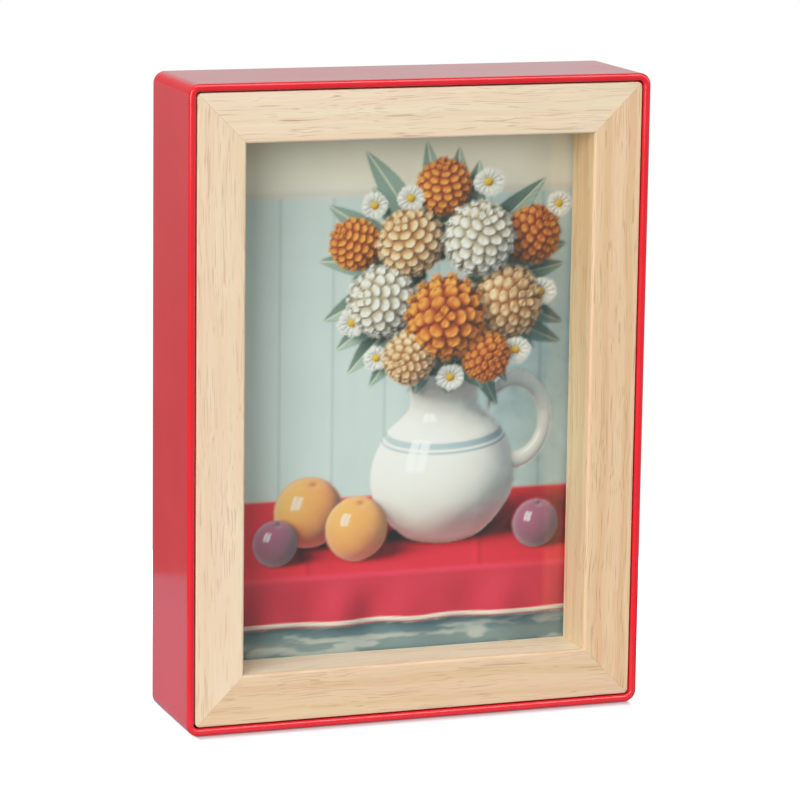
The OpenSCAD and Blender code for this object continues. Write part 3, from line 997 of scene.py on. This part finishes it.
def bloom(s, x, y, z, r, bright, deep, seed):
    """Rings of cupped petals on a ball. A petal's height falls off across it and towards its
    root, and the ball's size is found again four times with the petals' heights added."""
    lean = unit(((x - JUG_X) * 0.03, (y - TABLE_Y - 81) * 0.03 + 0.15, 1.0))
    side = unit(np.cross(lean, (0.0, 1.0, 0.2)))
    third = np.cross(lean, side)
    part, u, v, at_near = s.around(eye(x, y, z), r * 1.12)
    size = np.full(u.shape, r)
    for _ in range(4):
        n = ball(size, u, v)
        way = np.stack([u, v, n], -1) / (np.sqrt(u * u + v * v + n * n) + 1e-6)[..., None]
        tilt = np.arccos(np.clip(way @ lean, -1, 1)) / PETAL_RING
        ring, f = split(tilt)
        count = np.maximum(np.round(PETALS * np.sin(np.clip((ring + 0.5) * PETAL_RING, 0, 1.35))), 4)
        turn = np.arctan2(way @ side, way @ third) / (2 * np.pi) * count
        number, g = split(turn + 0.5 * (ring % 2) + scatter(ring, 0, seed))
        g = g * 2 - 1
        petal = (1 - g * g) ** 0.6 * ease(1.0, 0.9, f + 0.40 * g * g) * (0.25 + 0.75 * ease(0.0, 0.85, f))
        hollow = np.exp(-(g / 0.45) ** 2) * ease(0.1, 0.7, f) * ease(1.0, 0.75, f)
        size = r * (0.88 + 0.16 * petal - 0.07 * hollow)
    height = ball(size, u, v)
    full = ease(0.0, 0.75, petal)
    tint = blend(full, deep, bright) * (0.9 + 0.2 * scatter(ring, number, seed))[..., None]
    tint = blend(0.35 * ease(5.0, 1.0, tilt), tint, deep)
    lit_tip = 1 + 0.12 * (ease(0.55, 0.85, f) * (petal > 0.3))
    tint = tint * (lit_tip * (0.45 + 0.55 * full))[..., None]
    s.lay(part, height > 0, at_near + height, tint)


print("rings of petals on a whole ball:", int(np.pi / PETAL_RING))

# %% Daisies and leaves
def daisy(s, x, y, z, r, count, seed):
    """A flat star: notched rays whose length varies, round a low dome set with beads."""
    part, u, v, at_near = s.around(eye(x, y, z), r * 1.1)
    v = v / (0.82 + 0.15 * scatter(seed, 3, 1.0))
    d = np.hypot(u, v) / r
    number, g = split(np.arctan2(v, u) / (2 * np.pi) * count + seed)
    g = g * 2 - 1
    length = 0.93 - 0.10 * scatter(number, seed, 4.0) - 0.10 * g**4
    ray = ease(0.0, 0.05, length - d) * ease(1.0, 0.86, np.abs(g) * (1.0 + 0.15 * np.cos(d * 5)))
    near = at_near + 1.6 * np.sin(np.clip(d, 0, 1) * 2.6) + 0.5 * (1 - g * g) + 0.25 * np.cos(g * 9)
    tint = linear(244, 240, 230) * (0.75 + 0.25 * ease(0.2, 0.7, d))[..., None]
    s.lay(part, ray > 0.5, near, tint)
    beads = 0.12 * np.sin(u * 7.5 + seed) * np.sin(v * 7.5)
    dome = at_near + 1.2 + ball(0.30, d) * r + beads
    s.lay(part, d < 0.29, dome, linear(232, 168, 48) * (0.8 + 1.6 * beads)[..., None])


def leaf(s, root, angle, length, width, seed):
    """A pointed sheet that bends along its length and rises from its midrib to both edges."""
    part, du, dv, near = s.around(root, length * 1.05)
    along = (du * np.cos(angle) + dv * np.sin(angle)) / length
    across = (-du * np.sin(angle) + dv * np.cos(angle)) / width - 0.22 * along * along
    edge = 0.5 * np.sin(np.pi * np.clip(along, 0, 1) ** 0.8) ** 0.9
    off_rib = np.abs(across)
    ribs = np.sin((along * 9 - off_rib * 6) * 2 * np.pi)
    height = near + width * (0.45 * off_rib - 0.7 * (along - 0.4) ** 2) + 0.012 * ribs
    tint = linear(112, 138, 126) * ((0.85 + 0.3 * scatter(seed, 1.0, 2.0)) * (0.9 + 0.06 * ribs))[..., None]
    tint = blend(ease(0.045, 0.015, off_rib), tint, linear(180, 190, 165))
    s.lay(part, (along > 0) & (along < 1) & (off_rib < edge), height, tint, 0.12)


# %% Arrange the still life
ORANGE = (linear(237, 128, 50), linear(172, 56, 22))
TAN = (linear(238, 190, 140), linear(200, 120, 66))
IVORY = (linear(240, 234, 220), linear(196, 176, 140))
BLOOMS = [(0, 0, 14, 14.5, ORANGE), (-21, 4, 6, 12.5, IVORY), (21, 2, 5, 13, TAN), (-12, 22, 2, 12, TAN),
          (11, 23, 4, 13, IVORY), (-30, 20, -6, 9.5, ORANGE), (29, 21, -6, 10.5, ORANGE),
          (-1, 38, -5, 10, ORANGE), (-12, -12, 17, 9.5, TAN), (14, -13, 16, 9, ORANGE)]
DAISIES = [(-31, -2, 8, 6.0, 13), (32, 5, 6, 6.4, 14), (-12, 36, 0, 5.6, 13), (14, 40, -2, 6.0, 13),
           (-24, 33, -4, 5.2, 12), (2, -19, 18, 5.6, 13), (24, -12, 14, 6.0, 13), (-23, -13, 12, 5.2, 12),
           (38, 31, -6, 4.8, 12)]
FRUITS = [(-30, 58, 11.5, (238, 145, 56), (227, 110, 42), 0.6),
          (-14, 78, 10.5, (238, 145, 56), (227, 110, 42), 0.6),
          (-41, 80, 7.6, (123, 42, 78), (90, 29, 61), 0.8),
          (47, 76, 8.0, (123, 42, 78), (90, 29, 61), 0.8)]
LEAVES = 34
print("blooms", len(BLOOMS), "daisies", len(DAISIES), "leaves", LEAVES, "fruits", len(FRUITS))


def arrange(s):
    """Lays everything into the sketch. The leaves fan out round the bunch by the golden angle."""
    wall(s)
    cloth(s)
    apron(s)
    jug(s)
    handle(s)
    bunch = np.array([JUG_X, TABLE_Y + 76, JUG_Z])
    for k in range(LEAVES):
        angle = 2.4 * k + 0.5
        out = (13 + 6 * scatter(k, 0, 6.0)) * (1.0 if k < 20 else 0.4)
        root = eye(*(bunch + (out * np.cos(angle), 10 + out * np.sin(angle), 2)))
        way = angle + 0.5 * scatter(k, 2, 6.0) - 0.25
        leaf(s, np.add(root, (0, 0, -4)), way, 24 + 9 * scatter(k, 1, 6.0), 8.5, k)
    for k, (dx, dz) in enumerate(((-7, 12), (0, 13), (7, 12), (3, 8), (-3, 9))):
        root = eye(JUG_X + dx, TABLE_Y + JUG_H + 1, JUG_Z + dz)
        leaf(s, np.add(root, (0, 3, 2)), -1.57 + dx * 0.06, 11.0, 7.0, k + 40)
    for k, (*off, r, count) in enumerate(DAISIES):
        daisy(s, *(bunch + off), r, count, k + 3.0)
    for k, (*off, r, pair) in enumerate(BLOOMS):
        bloom(s, *(bunch + off), r, *pair, k + 1.0)
    for k, (*sizes, ripe, green, gloss) in enumerate(FRUITS):
        fruit(s, *sizes, linear(*ripe), linear(*green), 61.0 + k, gloss)


# %% [markdown]
# ## The picture: light
#
# A window on the left gives a warm light with soft shadows, and the room a cool one from all
# round. How much of either reaches a spot is found by stepping towards the light through the
# picture's own nearness, which is far quicker than tracing rays in a room. The glaze mirrors the
# window, the cloth throws a little red back up, and the sun on the wall is dappled. The last step
# is the lens: what is far off is softer, the corners are darker, and bright light bends over to
# white as it does on film.

# %% What light reaches a spot
LEAST_GAP = 0.35


def reached(s, ways, reach, steps, thick):
    """The share of the given ways in which light gets to each spot, on every second spot. A ray is
    stopped where the picture is nearer to the eye than the ray is, but not nearer by far."""
    near = s.near[::2, ::2]
    rows, columns = near.shape
    row, column = np.mgrid[0:rows, 0:columns]
    jitter = scatter(row, column, 9.0)
    total = np.zeros(near.shape)
    for k, way in enumerate(ways):
        free = np.ones(near.shape, bool)
        for i in range(steps):
            t = reach * ((i + 0.35 + 0.65 * np.modf(jitter + k * 0.618)[0]) / steps) ** 1.7 + 0.3
            to_column = (column + way[0] * t / (2 * s.step)).astype(np.int32)
            to_row = (row + way[1] * t / (2 * s.step)).astype(np.int32)
            inside = (to_column >= 0) & (to_column < columns) & (to_row >= 0) & (to_row < rows)
            there = near[np.clip(to_row, 0, rows - 1), np.clip(to_column, 0, columns - 1)]
            gap = there - (near + way[2] * t)
            free &= ~(inside & (gap > LEAST_GAP) & (gap < thick))
        total += free
    share = np.repeat(np.repeat(total / len(ways), 2, 0), 2, 1)
    return soften(share[: s.near.shape[0], : s.near.shape[1]], 2)


def soften(values, reach):
    """The mean over a square round each spot, from running sums down and then across."""
    width = 2 * reach + 1
    padded = np.pad(values, ((reach + 1, reach), (reach + 1, reach)), mode="edge")
    down = np.cumsum(padded, 0)
    across = np.cumsum(down[width:] - down[:-width], 1)
    return (across[:, width:] - across[:, :-width]) / width**2


# %% Light it and take the picture
GOLDEN = 2.39996
KEY = unit((-0.62, 0.52, 0.58))
KEY_SIDE = unit(np.cross(KEY, (0, 1, 0)))
KEY_UP = np.cross(KEY_SIDE, KEY)
UPWARDS = np.array((0.0, COS, SIN))
WINDOW_WIDE, WINDOW_HIGH = 0.28, 0.34
WINDOW_LIGHT, SKY_LIGHT = linear(255, 244, 226), 0.62 * linear(214, 226, 240)
CLOTH_LIGHT, CLOTH_REACH = 0.5 * linear(220, 60, 60), 22.0
EXPOSURE, DARK_CORNERS, PAPER_HAZE = 2.6, 0.34, 0.01


def mirrored_window(s, key):
    """Where a glossy spot's mirror direction meets the window, with its one bar, and a rim of sky."""
    bounce = 2 * s.slope[..., 2:] * s.slope - (0, 0, 1)
    ahead = bounce @ KEY
    across, over = (bounce @ way / np.maximum(ahead, 0.05) for way in (KEY_SIDE, KEY_UP))
    shine = ease(0.34, 0.26, np.abs(across)) * ease(0.42, 0.34, np.abs(over)) * (ahead > 0.2)
    shine = shine * (1 - 0.7 * ease(0.045, 0.02, np.abs(across)))
    return s.gloss * (0.55 * shine + 0.05 + 0.35 * (1 - s.slope[..., 2]) ** 3) * (0.3 + 0.7 * key)


def still_life(u, v):
    """The picture's linear colours at every spot."""
    s = Sketch(u, v)
    arrange(s)
    panes = [unit(KEY + KEY_SIDE * a + KEY_UP * b) for a in np.linspace(-WINDOW_WIDE, WINDOW_WIDE, 5)
             for b in np.linspace(-WINDOW_HIGH, WINDOW_HIGH, 5)]
    turn, high = GOLDEN * np.arange(14), (np.arange(14) + 0.5) / 14
    dome = np.stack([np.cos(turn) * np.sqrt(1 - high**2), np.sin(turn) * np.sqrt(1 - high**2), high], -1)
    key = reached(s, panes, reach=90, steps=20, thick=34.0)
    sky = reached(s, dome, reach=34, steps=11, thick=40.0)
    y, z = room(s.v, s.near)
    sun = 1.15 + (0.25 + 0.25 * cloudy(s.u / 30, s.v / 26, 71.0)) * ease(4, 2, z)
    lit = np.clip((s.slope @ KEY + 0.12) / 1.12, 0, None) * key * sun
    skyward = sky * (0.62 + 0.38 * (s.slope @ UPWARDS))
    from_cloth = np.clip(-(s.slope @ UPWARDS), 0, 1) * np.exp(-np.clip(y - TABLE_Y, 0, None) / CLOTH_REACH)
    light = (lit[..., None] * WINDOW_LIGHT + skyward[..., None] * SKY_LIGHT
             + from_cloth[..., None] * CLOTH_LIGHT)
    colour = s.tint * light + mirrored_window(s, key)[..., None]
    soft = np.stack([soften(colour[..., band], 2) for band in range(3)], -1)
    colour = blend(ease(30, -5, z), colour, soft)
    colour *= (1 - DARK_CORNERS * np.hypot(u / 80, v / 112) ** 2.2)[..., None]
    return (1 - PAPER_HAZE) * (1 - np.exp(-EXPOSURE * colour)) + PAPER_HAZE * linear(200, 190, 200)


print("the way to the window's middle:", KEY.round(2))

# %% [markdown]
# ## The print
#
# The print is a sheet of photo paper in the rabbet. Its picture drawn by shader nodes would need
# thousands of them for the petals and their shadows, and an image would need a file. The sheet is
# a fine grid instead, and each of its points carries its colour: the mean of four spots of the
# picture, as a lens and film would blur them. The grid covers what the frame lets be seen, and
# one wide strip goes on all round under the wood.

# %% Make the sheet
PRINT_STEP = 0.4484
PRINT_COLUMNS, PRINT_ROWS = 256, 374
print_low, print_high = node_box("photo_print")
print_low, print_high = print_low + (0, 0.02, 0), print_high - (0, 0.02, 0)
print_middle = (print_low + print_high) / 2


def spots(count, parts):
    """The middles of count cells, each cut into parts, about zero."""
    return (np.arange(count * parts) - (count * parts - 1) / 2) * PRINT_STEP / parts


def printed_sheet():
    """A front grid, a back loop under its outer edge, and a fan across the back."""
    x = np.concatenate([print_low[:1], spots(PRINT_COLUMNS, 1) + print_middle[0], print_high[:1]])
    z = np.concatenate([print_low[2:], spots(PRINT_ROWS, 1) + print_middle[2], print_high[2:]])
    front = np.stack(np.broadcast_arrays(x[None], print_low[1], z[:, None]), -1)
    number = np.arange(front.shape[0] * front.shape[1]).reshape(front.shape[:2])
    loop = np.concatenate([number[0, :-1], number[:-1, -1], number[-1, :0:-1], number[:0:-1, 0]])
    back_loop = number.size + np.arange(len(loop))
    back = front.reshape(-1, 3)[loop] * (1, 0, 1) + (0, print_high[1], 0)
    points = np.vstack([front.reshape(-1, 3), back, [print_middle[0], print_high[1], print_middle[2]]])
    sides = np.stack([loop, back_loop, np.roll(back_loop, -1), np.roll(loop, -1)], -1)
    fan = np.stack([np.full(len(loop), len(points) - 1), np.roll(back_loop, -1), back_loop], -1)
    return points, [np.vstack([quads(*number.shape), sides]), fan]


sheet_points, sheet_faces = printed_sheet()
u, v = np.meshgrid(spots(PRINT_COLUMNS, 2), spots(PRINT_ROWS, 2))
picture = still_life(u, v).reshape(PRINT_ROWS, 2, PRINT_COLUMNS, 2, 3).mean((1, 3))
picture = np.clip(np.pad(picture, ((1, 1), (1, 1), (0, 0)), mode="edge"), 0, 1)
print("picture", picture.shape, "mean", picture.mean((0, 1)).round(3))

# %% The photo paper's material
photo_paper, shader, _ = material("photo_paper", Roughness=0.32, IOR=1.46)
drawn = put("Attribute", attribute_name="picture", attribute_type="GEOMETRY").outputs
grain = noise(stretch(millimetres(), 7.0))[0]
bare = mix(grain, paint(234, 233, 228), paint(246, 245, 240))
grainy = mix(grain, (0.955, 0.955, 0.96, 1), (1.0, 1.0, 0.995, 1))
shown = mix(drawn["Alpha"], bare, mix(1.0, drawn["Color"], grainy, "MULTIPLY"))
join(shader, {"Base Color": shown, "Normal": bump(grain, 0.004 * MM)})

sheet = piece("print_sheet", sheet_points, sheet_faces, "photo_paper", "photo_print", photo_paper)
ink = np.zeros((len(sheet_points), 4), np.float32)
ink[: picture.shape[0] * picture.shape[1]] = np.dstack([picture, np.ones(picture.shape[:2])]).reshape(-1, 4)
sheet.data.attributes.new("picture", "FLOAT_COLOR", "POINT").data.foreach_set("color", ink.ravel())

# %% [markdown]
# ## Hardboard, zinc and steel
#
# What shows from behind is plain workshop stuff. The backing board is pressed hardboard: brown
# fibres in every direction, with darker flecks. The turn buttons and screws are steel with a thin
# coat of zinc, cloudy from the bath and scratched by tumbling, and the corner nails are bare
# blued steel. Both metals are one group with other colours and depths.

# %% Group: worked metal
METAL_CLOUD, SCRATCHES = 0.45, [(0.5, 4.0, 9.0), (9.0, 4.0, 0.6)]

metal_look, given, out = group("worked_metal", ["Bright", "Dull"], ["Gloss", "Spread"])
cloud = rise(noise(stretch(given["Place"], METAL_CLOUD), 3.0)[0], *MOST_NOISE)
lines = [rise(noise(stretch(given["Place"], *scale), 1.0)[0], 0.60, 0.75) for scale in SCRATCHES]
scratch = math("MAXIMUM", *lines)
tone = mix(cloud, given["Dull"], given["Bright"])
join(out, {"Color": mix(times(scratch, 0.35), tone, (0.82, 0.83, 0.85, 1)),
           "Roughness": math("MULTIPLY_ADD", cloud, given["Spread"], given["Gloss"]),
           "Height": math("MULTIPLY_ADD", scratch, -1.0, times(cloud, 0.4))})


def worked_metal(name, bright, dull, gloss, spread, depth):
    """Metal whose gloss is cloudy and whose surface is scratched."""
    made, shader, _ = material(name, Metallic=1.0)
    wear(shader, metal_look, millimetres(), depth, Bright=bright, Dull=dull, Gloss=gloss, Spread=spread)
    return made


zinc = worked_metal("zinc_plate", paint(204, 202, 200), paint(180, 177, 175), 0.28, 0.14, 0.006 * MM)
blued = worked_metal("blued_steel", paint(120, 122, 128), paint(84, 88, 96), 0.34, 0.16, 0.008 * MM)
print("metals", zinc.name, blued.name)

# %% The hardboard's material
hardboard, shader, _ = material("hardboard", Specular_IOR_Level=0.3)
place = millimetres()
layers = [millimetres((7.0 * k, 0, 0), (0, turn, 0)) for k, turn in enumerate((0.3, 1.5, 2.6))]
fibres = [rise(noise(stretch(layer, 0.35, 1.0, 3.2))[0], 0.45, 0.72) for layer in layers]
matted = math("MAXIMUM", math("MAXIMUM", *fibres[:2]), fibres[2])
mottle = rise(noise(stretch(place, 0.09), 3.0)[0], 0.3, 0.7)
fleck = rise(noise(stretch(place, 1.3))[0], 0.66, 0.78)
brown = mix(mottle, paint(150, 110, 74), paint(170, 130, 92))
brown = mix(times(matted, 0.45), brown, paint(192, 154, 114))
brown = mix(times(fleck, 0.6), brown, paint(92, 62, 40))
join(shader, {"Base Color": brown, "Roughness": rise(matted, 0.0, 1.0, 0.62, 0.78),
              "Normal": bump(matted, 0.03 * MM)})
print("hardboard nodes", len(hardboard.node_tree.nodes))

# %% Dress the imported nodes
def dress(finish, *starts):
    """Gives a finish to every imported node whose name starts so."""
    dressed = [node for name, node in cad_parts.items() if name.startswith(starts)]
    for node in dressed:
        for slot in node.material_slots:
            slot.material = finish
    print(finish.name, "on", len(dressed), "nodes")


dress(bracket_coat, "corner_bracket")
dress(zinc, "bracket_screws", "turn_button")
dress(blued, "corner_nail")
dress(hardboard, "backing_board")
